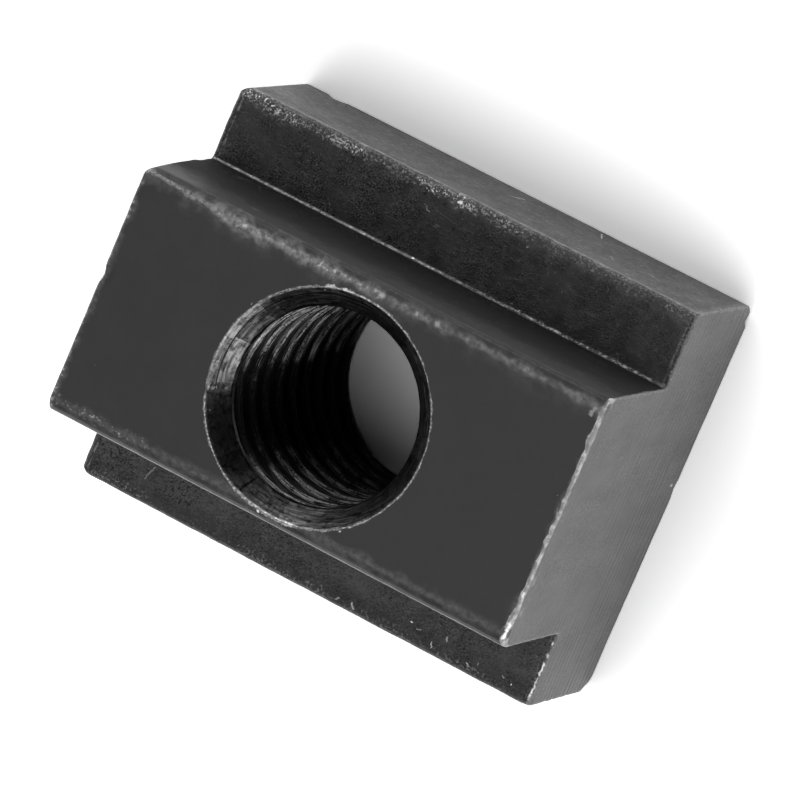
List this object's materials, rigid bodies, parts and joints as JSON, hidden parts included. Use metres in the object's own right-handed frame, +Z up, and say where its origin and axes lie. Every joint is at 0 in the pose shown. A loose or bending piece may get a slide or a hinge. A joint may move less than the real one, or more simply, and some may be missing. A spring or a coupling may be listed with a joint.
{
  "type": "t slot nut",
  "caption": "Block-shaped steel nut of T section that slides in a table's T slot: the neck fills the slot, two shoulders bear under its lips, and a threaded hole runs through.",
  "frame": {"origin": "middle of the underside, the face that lies on the floor of the slot", "axes": "+X along the slot, +Y across the T, +Z up through the neck and out of the slot's mouth"},
  "size_m": [0.027, 0.022, 0.0168],
  "materials": {
    "blackened_steel": "black oxide, satin, worn bright along its edges, with fine saw lines on both ends"
  },
  "bodies": {
    "root": {"t_slot_nut": "blackened_steel"}
  },
  "joints": []
}
